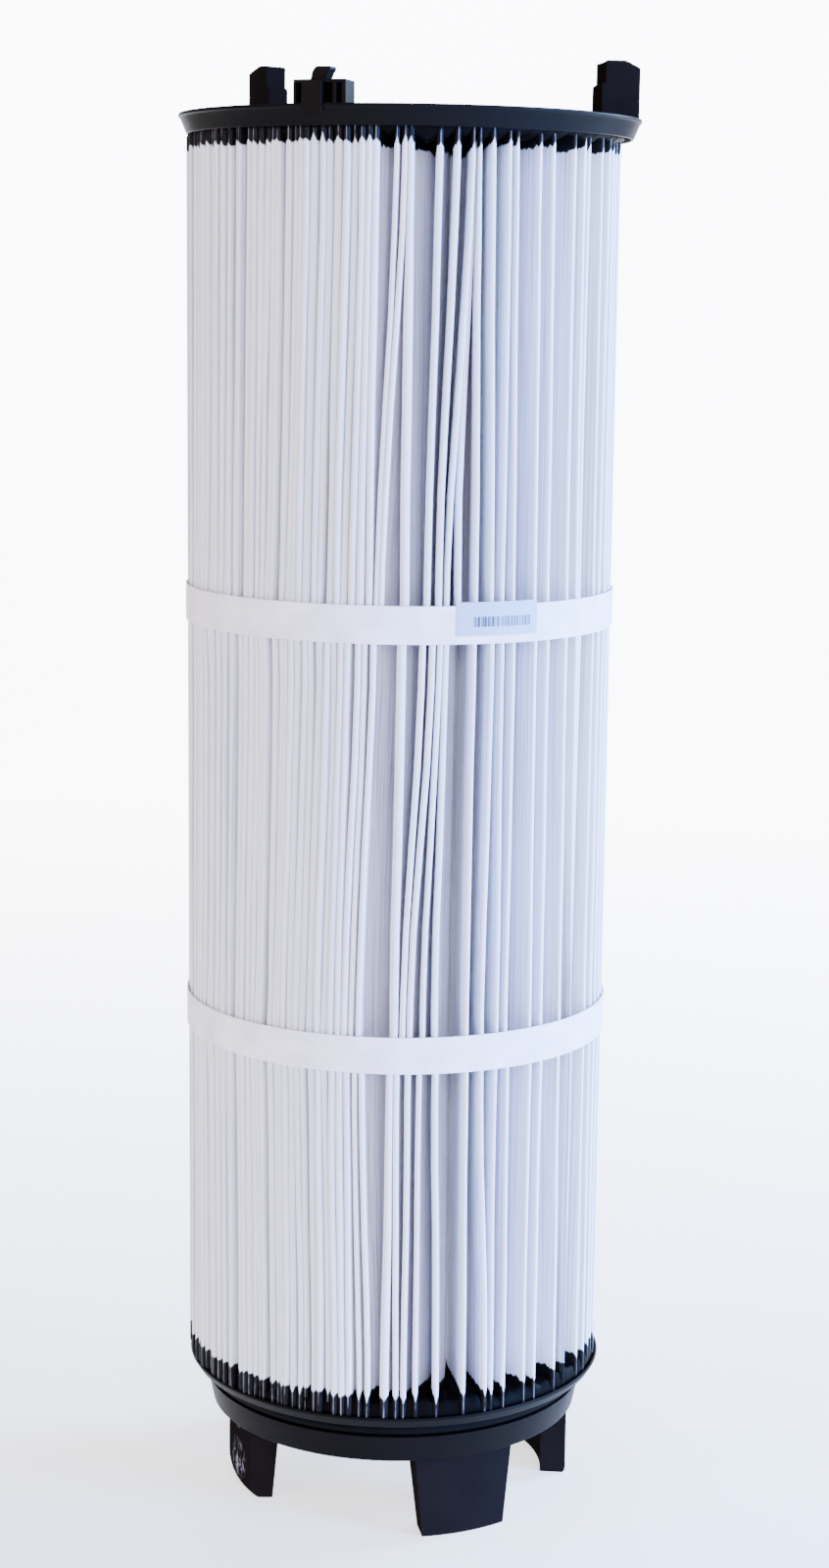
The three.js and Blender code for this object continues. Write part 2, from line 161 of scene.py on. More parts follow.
section_height = (core_top - core_bottom) / len(core_sections)
for number, name in enumerate(core_sections):
    low = core_bottom + number * section_height
    high = low + section_height - 0.3
    row_pitch = (high - low - hoop_height) / core_rows
    column_angle = 360 / core_columns
    rib_angle = math.degrees(rib_width / core_outer)
    heights = [low]
    for row in range(core_rows):
        heights += [low + hoop_height + row * row_pitch, low + (row + 1) * row_pitch]
    heights.append(high)
    angles = []
    panes = 5
    for column in range(core_columns):
        open_from = column * column_angle + rib_angle / 2
        open_width = column_angle - rib_angle
        angles += [open_from + open_width * i / panes for i in range(panes + 1)]
    bm = bmesh.new()
    bmesh.ops.create_grid(bm, x_segments=len(angles), y_segments=len(heights) - 1, size=1)
    windows = []
    for face in bm.faces:
        middle = face.calc_center_median()
        across = int((middle.x + 1) / 2 * len(angles)) % (panes + 1)
        upwards = int((middle.y + 1) / 2 * (len(heights) - 1))
        if across < panes and upwards % 2 == 1:
            windows.append(face)
    for vert in bm.verts:
        across = round((vert.co.x + 1) / 2 * len(angles))
        upwards = round((vert.co.y + 1) / 2 * (len(heights) - 1))
        vert.co = spot(core_outer, angles[across % len(angles)], heights[upwards])
    bmesh.ops.delete(bm, geom=windows, context="FACES")
    bmesh.ops.remove_doubles(bm, verts=bm.verts, dist=0.01)
    bmesh.ops.recalc_face_normals(bm, faces=bm.faces)
    bmesh.ops.solidify(bm, geom=bm.faces[:], thickness=core_outer - core_inner)
    bmesh.ops.recalc_face_normals(bm, faces=bm.faces)
    soften(bm, 0.8, 2, sharp=45)
    node_name = "core_section_" + name
    piece(node_name + "_cage", bm, core_plastic, [node_name])

# ---- Pleated media ----
# One long cloth of spunbond polyester, folded to and fro into 128 pleats and closed into a ring.
# The folds are soft loops. They crowd together on one side and stand open on the other,
# because the cloth was pushed round by hand before the resin set.

pleats = 128
fold_radius = 123
valley_radius = 76.4
cloth_thickness = 0.65
media_rows = (
    79.5, 82.5, 87, 96, 115, 150, 190, 230, 265, 283, 295, 306, 325, 365, 410,
    455, 500, 524, 535, 546, 565, 605, 650, 700, 745, 780, 792, 797.5, 801,
)
known_heights = (790, 546, 524, 306, 283, 92)
front_folds = (  # angle of each fold at the front, at the known heights from the top down
    (-11.7, -13.4, -16.1, -18.2, -17.6, -16.1),
    (-10.0, -11.4, -14.4, -16.3, -15.6, -14.1),
    (-8.5, -9.1, -11.7, -14.4, -13.6, -12.1),
    (-3.2, -7.1, -9.9, -12.7, -11.5, -9.4),
    (-1.2, -5.9, -7.9, -10.6, -9.7, -7.0),
    (0.1, 0.0, -0.6, -1.2, -2.2, -2.5),
    (7.6, 5.8, 5.0, 0.9, -0.4, 0.5),
    (11.9, 8.8, 7.4, 2.9, 2.6, 2.6),
    (16.1, 10.9, 9.4, 6.2, 5.5, 5.9),
    (16.9, 14.0, 10.9, 9.6, 10.0, 11.6),
    (17.8, 18.6, 18.4, 18.1, 18.2, 19.1),
    (21.4, 23.1, 23.4, 22.5, 22.6, 25.4),
)
right_folds = (26.2, 28.7, 35.8, 40.5, 47.6, 53.0, 54.8, 63.0, 67.6, 72.4, 76.8, 81.5, 86)
left_count = 39  # evenly crowded folds on the left, before the first front one
left_edge = -92
open_folds = range(left_count - 1, left_count + 27)  # the others are crowded together
sunk_fold = left_count + 9  # it falls back behind its neighbours above the upper strap
sunk_from = 560
sunk_by = 3.5
strap_middles = (294.7, 535.5)
strap_grip = 40  # the straps line the folds up over this height
middle_height = 440
follow_share = 0.62
valley_lag = 8  # degrees by which the even inner folds trail the outer ones
valley_half = 0.85
valley_round = 1.6
neck_depth = 5
closed_room = 6  # the resin only climbs between folds further apart than this
stain_edge = 94.6
stain_sum = 885.2  # the stain's mean heights at the two caps, added
valley_stain = 98
draw = random.Random(11)


def bundle_shift(degrees, height):
    """How far the ring of pleats stands out at an angle. It sits a little off centre, more at the top."""
    lean = 1.2 + 2.2 * min(1, max(0, (height - 90) / 700))
    return -lean * math.sin(math.radians(degrees))


def between(values, height):
    """Eases a fold from one known height to the next."""
    if height >= known_heights[0]:
        return values[0]
    for i in range(1, len(known_heights)):
        if height >= known_heights[i]:
            share = (height - known_heights[i]) / (known_heights[i - 1] - known_heights[i])
            ease = share * share * (3 - 2 * share)
            return values[i] + (values[i - 1] - values[i]) * ease
    return values[-1]


folds = []
for i in range(left_count):
    share = i / left_count
    aside = draw.uniform(-0.7, 0.7)
    folds.append([
        left_edge + (first - left_edge) * share + aside + draw.uniform(-0.2, 0.2)
        for first in front_folds[0]
    ])
folds += [list(fold) for fold in front_folds]
for base in right_folds:
    drift = draw.uniform(0, 2.6) if base < 60 else draw.uniform(-0.6, 0.9)
    folds.append([base + drift * k / 5 + draw.uniform(-0.5, 0.5) for k in range(6)])
back_count = pleats - len(folds)
back_from = right_folds[-1]
back_pitch = (360 + left_edge - back_from) / (back_count + 1)
for i in range(back_count):
    wander = draw.uniform(-0.5, 0.5)
    folds.append([
        back_from + back_pitch * (i + 1) + wander + draw.uniform(-0.35, 0.35) for _ in range(6)
    ])
fold_depth = [draw.uniform(-0.9, 0.3) for _ in range(pleats)]
fold_wave = [draw.uniform(0, 2 * math.pi) for _ in range(pleats)]
wick = [draw.uniform(-0.9, 0.9) for _ in range(pleats)]
plumpness = [draw.uniform(1.6, 2.3) for _ in range(pleats)]
# the open folds are thinner, and thinnest to the right, but one at the front is full
for i in range(left_count + 3, left_count + 12):
    plumpness[i] = draw.uniform(1.05, 1.45)
for i in range(left_count + 12, left_count + 34):
    plumpness[i] = draw.uniform(0.8, 1.1)
plumpness[left_count + 5] = 2.3
# how far short of the stain's edge a fold's tip stays white: most at the front
bare_tip = [draw.uniform(0, 1.2) for _ in range(pleats)]
for i in range(left_count - 6, left_count + 30):
    bare_tip[i] = draw.uniform(0.5, 4.5)
for i in range(left_count):
    fold_depth[i] = draw.uniform(-2.2, 0.3)
tightness = [draw.uniform(0.415, 0.468) for _ in range(pleats)]


def fold_angle(i, height):
    """The angle of fold i at a height. It goes on counting past a full turn."""
    turns, i = divmod(i, pleats)
    wave = 0.10 * math.sin(height / 47 + fold_wave[i]) + 0.06 * math.sin(height / 19 + 3 * fold_wave[i])
    return between(folds[i], height) + wave + 360 * turns


def valley_angle(i, height):
    """The angle of the inner fold between fold i and the next. It follows the outer folds in part."""
    middle = (fold_angle(i, height) + fold_angle(i + 1, height)) / 2
    even = left_edge + (i + 0.5) * 360 / pleats - valley_lag
    return follow_share * middle + (1 - follow_share) * even


def cap_limit(height):
    """The largest radius that keeps the cloth inside a cap. Between the caps there is no limit."""
    if height < 82:
        return 122.2
    if height > 799:
        return 124.6
    return math.inf


columns_per_pleat = 12
column_count = pleats * columns_per_pleat
bm = bmesh.new()
bmesh.ops.create_grid(bm, x_segments=column_count, y_segments=len(media_rows) - 1, size=1)
soak = bm.verts.layers.float.new("soak")
crest = bm.verts.layers.float.new("crest")
ring_of = {}
for row, height in enumerate(media_rows):
    upper = height > middle_height
    loose = min(1, min(abs(height - middle) for middle in strap_middles) / strap_grip)
    for i in range(pleats):
        tip = fold_angle(i, height)
        before = tip - fold_angle(i - 1, height)
        after = fold_angle(i + 1, height) - tip
        out = fold_radius + bundle_shift(tip, height) + fold_depth[i] * loose
        if i == sunk_fold and height > sunk_from:
            out -= sunk_by * min(1, (height - sunk_from) / 60)
        out = min(out, cap_limit(height))
        gap = [math.radians(before) * out, math.radians(after) * out]
        crowded = i not in open_folds
        half = min(plumpness[i], (tightness[i] if crowded else 0.44) * min(gap))
        flat = 0.55 if crowded else 0.1
        start_valley = valley_angle(i - 1, height)
        end_valley = valley_angle(i, height)
        loop = []
        for side, valley, room in ((-1, start_valley, gap[0]), (1, end_valley, gap[1])):
            lip = math.degrees(half / out)
            neck = math.degrees(half * 0.9 / out)
            base = valley - side * math.degrees(valley_half / valley_radius)
            deep = valley_radius + valley_round
            shoulder = out - half - neck_depth
            mid = 0.5 * (deep + out - half - neck_depth)
            mid_angle = base + (tip + side * neck - base) * (mid - deep) / (shoulder - deep)
            climb = 0.15 if tip > 24 else 0.7 if upper else 0.45
            open_room = max(0, room - closed_room) * climb
            edge = stain_edge + wick[i] + (1.8 if upper and 6 < tip < 19 else 0)
            deeper = 0.8 * open_room + 2 if upper else -1.5
            # radius, angle, how far it is towards the crest, height of the stain's edge
            wall = [
                (deep, base, 0, edge + deeper),
                (mid, mid_angle, 0, edge + 0.5 * deeper),
                (shoulder, tip + side * neck, 0, edge + 0.6 * open_room),
                (out - half * (1 - 0.4 * flat), tip + side * lip, 0.15, edge),
                (out - half * 0.3 * (1 - 0.7 * flat), tip + side * lip * 0.76, 0.6, edge - 0.4),
            ]
            loop.append(wall)
        top = [(out, tip, 1, edge - 0.8 - bare_tip[i])]
        first = [(valley_radius, start_valley, 0, valley_stain)]
        ring_of[row, i] = first + loop[0] + top + loop[1][::-1]
for vert in bm.verts:
    column = round((vert.co.x + 1) / 2 * column_count)
    row = round((vert.co.y + 1) / 2 * (len(media_rows) - 1))
    i, k = divmod(column % column_count, columns_per_pleat)
    radius, degrees, ridge, edge = ring_of[row, i][k]
    height = media_rows[row]
    vert.co = spot(radius, degrees, height)
    vert[crest] = ridge
    vert[soak] = edge - height if height < middle_height else height - (stain_sum - edge)
bmesh.ops.remove_doubles(bm, verts=[v for v in bm.verts if v.is_boundary], dist=0.005)
bmesh.ops.recalc_face_normals(bm, faces=bm.faces)

# Spunbond polyester: white filaments pressed into a sheet, a little fuzzy, with painted shade in its fine
# creases and a painted highlight along each fold's crest. The ends are black where the resin has soaked up
# into the cloth.
cloth, tree, shader = new_material(
    "spunbond_polyester", {
        "IOR": 1.4, "Specular IOR Level": 0.15, "Subsurface Weight": 0.8, "Subsurface Scale": 0.003,
        "Subsurface Radius": (1, 1, 1),
    },
)
place = node(tree, "TexCoord").outputs["Object"]
ridge = node(tree, "Attribute", {"attribute_name": "crest"}).outputs["Fac"]
depth = node(tree, "Attribute", {"attribute_name": "soak"}).outputs["Fac"]
strands = node(tree, "Mapping", {"Scale": (900, 900, 260)}, {"Vector": place}).outputs["Vector"]
fibres = node(tree, "TexNoise", {"Scale": 1, "Detail": 4, "Roughness": 0.7}, {"Vector": strands})
cloud = node(tree, "TexNoise", {"Scale": 14, "Detail": 3}, {"Vector": place}).outputs["Fac"]
body_tint = node(
    tree, "MixRGB", {"Color1": colour("#DBD8DE"), "Color2": colour("#ECE9EE")}, {"Fac": cloud},
)
# painted shade: thin grey streaks stand in for the shade in fine creases of the cloth
crease_shade_space = node(tree, "Mapping", {"Scale": (620, 620, 5)}, {"Vector": place}).outputs["Vector"]
crease_shade_noise = node(tree, "TexNoise", {"Scale": 1, "Detail": 2}, {"Vector": crease_shade_space}).outputs["Fac"]
crease_shade_amount = node(tree, "MapRange", {"From Min": 0.45, "From Max": 0.7, "To Max": 0.75}, {"Value": crease_shade_noise})
crease_shaded = node(
    tree, "MixRGB", {"Color2": colour("#9D9AA4")},
    {"Fac": crease_shade_amount.outputs["Result"], "Color1": body_tint.outputs["Color"]},
)
# painted highlight: the cloth turns lighter towards each fold's crest, where light catches the outer tips
crest_highlighted = node(
    tree, "MixRGB", {"Color2": colour("#F6F4F3")}, {"Fac": ridge, "Color1": crease_shaded.outputs["Color"]},
)
drip = node(tree, "Mapping", {"Scale": (420, 420, 90)}, {"Vector": place}).outputs["Vector"]
ragged = node(tree, "TexNoise", {"Scale": 1, "Detail": 4}, {"Vector": drip}).outputs["Fac"]
jitter = node(tree, "Math", {"operation": "MULTIPLY_ADD", 1: 5.0, 2: -2.5}, {0: ragged}).outputs["Value"]
level = node(tree, "Math", {"operation": "ADD"}, {0: depth, 1: jitter}).outputs["Value"]
soaked = node(tree, "MapRange", {"From Min": -0.5, "From Max": 0.6}, {"Value": level}).outputs["Result"]
# within the black stain, fold crests turn a lighter grey in ragged patches
crest_top = node(tree, "MapRange", {"From Min": 0.9, "From Max": 1.0}, {"Value": ridge}).outputs["Result"]
some = node(tree, "MapRange", {"From Min": 0.4, "From Max": 0.62}, {"Value": ragged}).outputs["Result"]
thin = node(tree, "Math", {"operation": "MULTIPLY"}, {0: crest_top, 1: some}).outputs["Value"]
stain = node(tree, "MixRGB", {"Color1": colour("#060506"), "Color2": colour("#8F8C90")}, {"Fac": thin})
whole = node(
    tree, "MixRGB", {},
    {"Fac": soaked, "Color1": crest_highlighted.outputs["Color"], "Color2": stain.outputs["Color"]},
)
tree.links.new(whole.outputs["Color"], shader.inputs["Base Color"])
gloss = node(tree, "MapRange", {"To Min": 0.86, "To Max": 0.5}, {"Value": soaked})
tree.links.new(gloss.outputs["Result"], shader.inputs["Roughness"])
fuzz = node(tree, "Bump", {"Strength": 0.35, "Distance": 0.0002}, {"Height": fibres.outputs["Fac"]})
tree.links.new(fuzz.outputs["Normal"], shader.inputs["Normal"])

media = piece("pleated_cloth", bm, cloth, ["pleated_media"], weighted=False)
thicken = media.modifiers.new("cloth thickness", "SOLIDIFY")
thicken.thickness = cloth_thickness / 1000
thicken.offset = 0

# ---- Potting ----
# Black polyurethane resin, poured into each cap round the pleat ends and the core, then cured.
# It creeps up between the pleats, so its edge is ragged and higher where the pleats stand open.

# Cast polyurethane: glossy, with slow ripples and a few pits.
resin, tree, shader = new_material(
    "cast_polyurethane", {"Base Color": colour("#050404"), "IOR": 1.5, "Specular IOR Level": 0.02},
)
place = node(tree, "TexCoord").outputs["Object"]
ripple = node(tree, "TexNoise", {"Scale": 90, "Detail": 3}, {"Vector": place}).outputs["Fac"]
sheen = node(tree, "MapRange", {"To Min": 0.4, "To Max": 0.6}, {"Value": ripple})
tree.links.new(sheen.outputs["Result"], shader.inputs["Roughness"])
swell = node(tree, "Bump", {"Strength": 0.4, "Distance": 0.0005}, {"Height": ripple})
tree.links.new(swell.outputs["Normal"], shader.inputs["Normal"])

# place name, the side against the cap, the wide part's end, the free face
pours = (("bottom", 78, 82.3, 89.5), ("top", 802.6, 799, 795.2))
for name, floor_z, rim_z, face_z in pours:
    away = 1 if face_z > floor_z else -1
    bm = swept([
        (75, floor_z), (121.6, floor_z), (121.6, rim_z), (121.2, face_z - away * 1.5),
        (117, face_z), (110, face_z + away * 0.8), (75, face_z),
    ], steps=384)
    for vert in bm.verts:
        if (vert.co.z - rim_z) * away > 0.5:
            angle = math.degrees(math.atan2(vert.co.x, -vert.co.y))
            flat = Vector((vert.co.x, vert.co.y))
            flat += flat.normalized() * bundle_shift(angle, vert.co.z) * (0.9 if flat.length > 90 else 0)
            # the edge stands unevenly, and highest at the front, where the pleats are open
            climb = 1.1 * math.sin(angle * 0.37) + 0.7 * math.sin(angle * 1.31 + 2)
            climb += 1.6 * math.exp(-((angle - 8) / 16) ** 2)
            vert.co = (flat.x, flat.y, vert.co.z + away * climb)
    piece(name + "_resin", bm, resin, [name + "_potting"])

# ---- End caps ----
# Injection moulded black ABS. The top one is an open ring with a flared skirt, a raised lip and a
# collar into the core. The bottom one has a pan for the resin, a flange, a groove for the seal, a
# tapered ring below it and a ribbed channel underneath, which the feet stand in.

# Moulded ABS: a satin black with a fine grain, faintly blue, dulled in patches by handling.
cap_plastic, tree, shader = new_material("moulded_abs", {"IOR": 1.5, "Specular IOR Level": 0.045})
place = node(tree, "TexCoord").outputs["Object"]
handling = node(tree, "TexNoise", {"Scale": 26, "Detail": 5, "Roughness": 0.6}, {"Vector": place})
patches = handling.outputs["Fac"]
grain = node(tree, "TexNoise", {"Scale": 1500, "Detail": 2}, {"Vector": place}).outputs["Fac"]
tint = node(tree, "MixRGB", {"Color1": colour("#050403"), "Color2": colour("#0A0808")}, {"Fac": patches})
tree.links.new(tint.outputs["Color"], shader.inputs["Base Color"])
dull = node(tree, "MapRange", {"To Min": 0.36, "To Max": 0.56}, {"Value": patches})
tree.links.new(dull.outputs["Result"], shader.inputs["Roughness"])
texture = node(tree, "Bump", {"Strength": 0.12, "Distance": 0.0001}, {"Height": grain})
waves = node(
    tree, "Bump", {"Strength": 0.15, "Distance": 0.001},
    {"Height": patches, "Normal": texture.outputs["Normal"]},
)
tree.links.new(waves.outputs["Normal"], shader.inputs["Normal"])

bore = 66
collar = 69.2
plate_face = 807
lip_top = 810.4
lip_radius = 131.4
bm = swept([
    (126.7, 799.2), (130.2, 807.6), (lip_radius, 808.8), (lip_radius, lip_top),
    (130.2, lip_top), (130.0, plate_face), (75, plate_face), (75, lip_top),
    (bore, lip_top), (bore, 794), (collar, 794), (collar, 803), (125.6, 803), (125.6, 799.2),
], steps=180)
soften(bm, 0.45, 2)
piece("top_cap", bm, cap_plastic, ["top_end_cap"])

groove_low = 65.6
groove_high = 74.7
ring_bottom = 49.7
bm = swept([
    (bore, 66.7), (collar, 66.7), (collar, groove_high), (79.5, groove_high), (79.5, 55.7),
    (82, 55.7), (82, groove_high), (103.8, groove_high), (103.8, 63), (107.4, 63),
    (107.4, ring_bottom), (110.2, ring_bottom), (113.5, groove_low), (106, groove_low),
    (106, groove_high), (121, groove_high), (124.2, 79.8), (123.9, 81.2),
    (122.7, 81.2), (122.2, 77.6), (collar, 77.6), (collar, 88), (bore, 88),
], steps=180)
soften(bm, 0.45, 2)
# angle, inner radius, outer radius, round of the tip's outer edge
feet = {
    "front": (23.8, 88, 104.5, 0.8),
    "right": (98.5, 91, 106.5, 2),
    "back": (198, 88, 104.5, 2),
    "left": (-74, 88, 100.5, 6.5),
}
channel_ribs = (0.4, 0.53, 0.67)  # shares of the way from one foot to the next
rib_middle = 92.9
foot_angles = [feet[name][0] for name in ("front", "right", "back", "left")]
for i, angle in enumerate(foot_angles):
    to_next = (foot_angles[(i + 1) % 4] - angle) % 360
    for share in channel_ribs:
        rib = bmesh.new()
        bmesh.ops.create_cube(rib, size=1)
        bmesh.ops.scale(rib, vec=(2.5, 23, groove_high - 55), verts=rib.verts)
        soften(rib, 0.5, 2)
        bmesh.ops.translate(rib, vec=(0, -rib_middle, (groove_high + 56.4) / 2), verts=rib.verts)
        turn = Matrix.Rotation(math.radians(angle + share * to_next), 3, "Z")
        bmesh.ops.rotate(rib, cent=(0, 0, 0), matrix=turn, verts=rib.verts)
        join_in(bm, rib)
piece("bottom_cap", bm, cap_plastic, ["bottom_end_cap"])

# ---- Seal ring ----
# A moulded nitrile O-ring that lies in the groove and seals the cartridge in its tank.

# Nitrile rubber: dull black, with a faint mottled bloom.
rubber, tree, shader = new_material(
    "nitrile_rubber", {"Roughness": 0.62, "IOR": 1.45, "Specular IOR Level": 0.03},
)
place = node(tree, "TexCoord").outputs["Object"]
bloom = node(tree, "TexNoise", {"Scale": 40, "Detail": 6}, {"Vector": place}).outputs["Fac"]
tint = node(tree, "MixRGB", {"Color1": colour("#040405"), "Color2": colour("#0A0A0B")}, {"Fac": bloom})
tree.links.new(tint.outputs["Color"], shader.inputs["Base Color"])
skin = node(tree, "Bump", {"Strength": 0.2, "Distance": 0.0002}, {"Height": bloom})
tree.links.new(skin.outputs["Normal"], shader.inputs["Normal"])

seal_radius = 3.9
seal_centre = (110.2, 70.15)
seal_sides = 20
bm = swept([
    (
        seal_centre[0] + seal_radius * math.cos(2 * math.pi * i / seal_sides),
        seal_centre[1] + seal_radius * math.sin(2 * math.pi * i / seal_sides),
    )
    for i in range(seal_sides)
], steps=160)
piece("o_ring", bm, rubber, ["bottom_o_ring"], weighted=False)

# ---- Feet ----
# Four tapered curved plates that stand down out of the channel of the bottom cap, moulded with it.
# They carry the cartridge, and their spacing and radii differ, so that it goes in one way only.

# The same ABS from a spark-eroded part of the mould: dead matt and a little greyer, with two pale marks
# that are partly scuffs and partly a painted highlight.
matt_plastic, tree, shader = new_material("matt_abs", {"Roughness": 0.9, "Specular IOR Level": 0})
place = node(tree, "TexCoord").outputs["Object"]
handling = node(tree, "TexNoise", {"Scale": 34, "Detail": 5, "Roughness": 0.6}, {"Vector": place})
pits = node(tree, "TexNoise", {"Scale": 1800, "Detail": 2}, {"Vector": place}).outputs["Fac"]
tint = node(tree, "MixRGB", {"Color1": colour("#110E0E"), "Color2": colour("#191515")}, {
    "Fac": handling.outputs["Fac"],
})
mark_space = node(tree, "Mapping", {"Scale": (260, 260, 150)}, {"Vector": place}).outputs["Vector"]
mark_noise = node(tree, "TexNoise", {"Scale": 1, "Detail": 5, "Roughness": 0.7}, {"Vector": mark_space})
mark_breakup = node(tree, "MapRange", {"From Min": 0.5, "From Max": 0.62}, {"Value": mark_noise.outputs["Fac"]})
# two pale marks on the outside of the left foot, partly scuffs and partly a painted highlight: height and
# reach in metres
for mark_height, mark_reach in ((0.046, 0.008), (0.019, 0.014)):
    off = node(
        tree, "VectorMath", {"operation": "DISTANCE", 1: (-0.0935, -0.0372, mark_height)}, {0: place},
    )
    near = node(tree, "MapRange", {
        "From Min": mark_reach, "From Max": mark_reach * 0.5, "To Max": 0.75,
    }, {"Value": off.outputs["Value"]})
    mask = node(
        tree, "Math", {"operation": "MULTIPLY"},
        {0: near.outputs["Result"], 1: mark_breakup.outputs["Result"]},
    )
    tint = node(
        tree, "MixRGB", {"Color2": colour("#9A9AA2")},
        {"Fac": mask.outputs["Value"], "Color1": tint.outputs["Color"]},
    )
tree.links.new(tint.outputs["Color"], shader.inputs["Base Color"])
erosion = node(tree, "Bump", {"Strength": 0.3, "Distance": 0.0001}, {"Height": pits})
tree.links.new(erosion.outputs["Normal"], shader.inputs["Normal"])

foot_root_half = 17.6
foot_tip_half = 14.1
foot_skew = math.radians(-14)
half_sweep = 20
for name, (angle, inner, outer, tip_round) in feet.items():
    root_outer = min(outer, 103.2)
    outline = [(root_outer, 74.4), (root_outer, 62.7)]
    if outer > root_outer:
        outline.append((outer, 62.7))
    for i in range(9):
        turn = math.pi / 2 * i / 8
        outline.append((
            outer - tip_round + tip_round * math.cos(turn),
            2 * tip_round - 2 * tip_round * math.sin(turn),
        ))
    outline += [(inner, 0), (inner, 37.7), (inner - 1.5, ring_bottom), (inner - 1.5, 74.4)]
    bm = swept(outline, angle - half_sweep, 2 * half_sweep, 20)
    for vert in bm.verts:
        radius = math.hypot(vert.co.x, vert.co.y)
        turned = (math.degrees(math.atan2(vert.co.x, -vert.co.y)) - angle + 180) % 360 - 180
        rise = min(1, max(0, vert.co.z / ring_bottom))
        tip_width = outer * math.sin(math.radians(foot_tip_half))
        root_width = outer * math.sin(math.radians(foot_root_half))
        half_width = tip_width + (root_width - tip_width) * rise
        # the ends lie along a line skewed from the radius, which passes the outer face at this width
        offset = turned / half_sweep * half_width - outer * math.sin(foot_skew)
        spread = math.asin(offset / radius) + foot_skew
        vert.co = spot(radius, angle + math.degrees(spread), vert.co.z)
    soften(bm, 0.6, 3)
    piece("foot_plate_" + name, bm, matt_plastic, ["foot_" + name])

# ---- Locating lugs ----
# Two tall uprights on the top cap, moulded with it, which key into the manifold above.

lug_top = 844
lug_outer = 130
# name, angle, half of its width in degrees, inner radius
lugs = (("right", 97, 7.6, 110.3), ("left", -135.8, 3.9, 115))
for name, angle, half, inner in lugs:
    bm = swept([
        (lug_outer, 806.6), (lug_outer, lug_top - 4.2), (lug_outer - 8.3, lug_top),
        (inner, lug_top), (inner, 832), (inner - 2.2, 831), (inner - 2.2, 806.6),
    ], angle - half, 2 * half, 8)
    soften(bm, 0.9, 3)
    piece("lug_" + name, bm, matt_plastic, ["locating_lug_" + name])

# ---- Latch keeper ----
# A small hollowed block at the lip, moulded with the top cap: a front panel between open pockets,
# and a hooked finger on top that snaps into the manifold.

latch_angle = -21.7
latch_half = 6.6
latch_top = 822.6
latch_left = latch_angle - latch_half
panel_from = latch_left + 2.5
panel_to = panel_from + 5.1
latch_right = latch_angle + latch_half
# inner radius, outer radius, from, to, bottom, top
latch_walls = (
    (114, 123.4, latch_left, latch_right, 806.6, latch_top),
    (123, 131.2, latch_left, latch_right, 820.9, latch_top),
    (123, 131.2, latch_left, latch_left + 0.8, 810.2, 821.4),
    (123, 131.2, panel_from, panel_to, 810.2, 821.4),
    (131, 132.8, panel_from, panel_to, 805.8, 822),
    (123, 131.2, panel_to + 2.4, panel_to + 3.3, 810.2, 821.4),
    (123, 131.2, latch_right - 1, latch_right, 810.2, 821.4),
    (123, 130, latch_left, latch_right, 806.6, 810.9),
)
bm = bmesh.new()
for inner, outer, start, end, low, high in latch_walls:
    wall = swept(
        [(outer, low), (outer, high), (inner, high), (inner, low)],
        start, end - start, max(2, round((end - start) / 1.2)),
    )
    soften(wall, 0.3, 2)
    join_in(bm, wall)
piece("latch_block", bm, cap_plastic, ["latch_keeper"])

finger = [
    (-6.8, latch_top - 0.4), (1.6, latch_top - 0.4), (3.4, 826.3), (4.6, 827.9),
    (4.6, 829.5), (-3.6, 829.5), (-5.4, 827.5),
]
bm = bmesh.new()
face = bm.faces.new([bm.verts.new((side, -118, height)) for side, height in finger])
pushed = bmesh.ops.extrude_face_region(bm, geom=[face])
moved = [g for g in pushed["geom"] if isinstance(g, bmesh.types.BMVert)]
bmesh.ops.translate(bm, vec=(0, -9, 0), verts=moved)
bmesh.ops.recalc_face_normals(bm, faces=bm.faces)
soften(bm, 0.5, 3)
turn = Matrix.Rotation(math.radians(latch_angle), 3, "Z")
bmesh.ops.rotate(bm, cent=(0, 0, 0), matrix=turn, verts=bm.verts)
piece("latch_hook", bm, cap_plastic, ["latch_finger"])

# ---- Straps ----
# Two flat bands of white non-woven polyester web, pulled round the pleats and welded to themselves
# at the back. They keep the folds in place.

strap_height = 21
strap_inner = fold_radius + 0.65
strap_thickness = 0.8
splice_angle = 171
splice_sweep = 18
band_radius = 0.124

# Strap web: long filaments laid round the band, pressed flat, so it shows fine level lines.
web, tree, shader = new_material("polyester_web", {"Roughness": 0.8, "Specular IOR Level": 0.3})
along = node(tree, "UVMap", {"uv_map": "band"}).outputs["UV"]
lines = node(tree, "Mapping", {"Scale": (26, 1900, 1)}, {"Vector": along}).outputs["Vector"]
threads = node(tree, "TexNoise", {"Scale": 1, "Detail": 4, "Roughness": 0.65}, {"Vector": lines})
thread = threads.outputs["Fac"]
mottle = node(tree, "TexNoise", {"Scale": 60, "Detail": 3}, {"Vector": along}).outputs["Fac"]
both = node(tree, "Math", {"operation": "MULTIPLY"}, {0: thread, 1: mottle}).outputs["Value"]
shade = node(tree, "MapRange", {"From Min": 0.12, "From Max": 0.38}, {"Value": both}).outputs["Result"]
tint = node(tree, "MixRGB", {"Color1": colour("#DDD8DC"), "Color2": colour("#F7F2F3")}, {"Fac": shade})
tree.links.new(tint.outputs["Color"], shader.inputs["Base Color"])
weave = node(tree, "Bump", {"Strength": 0.5, "Distance": 0.00025}, {"Height": thread})
tree.links.new(weave.outputs["Normal"], shader.inputs["Normal"])


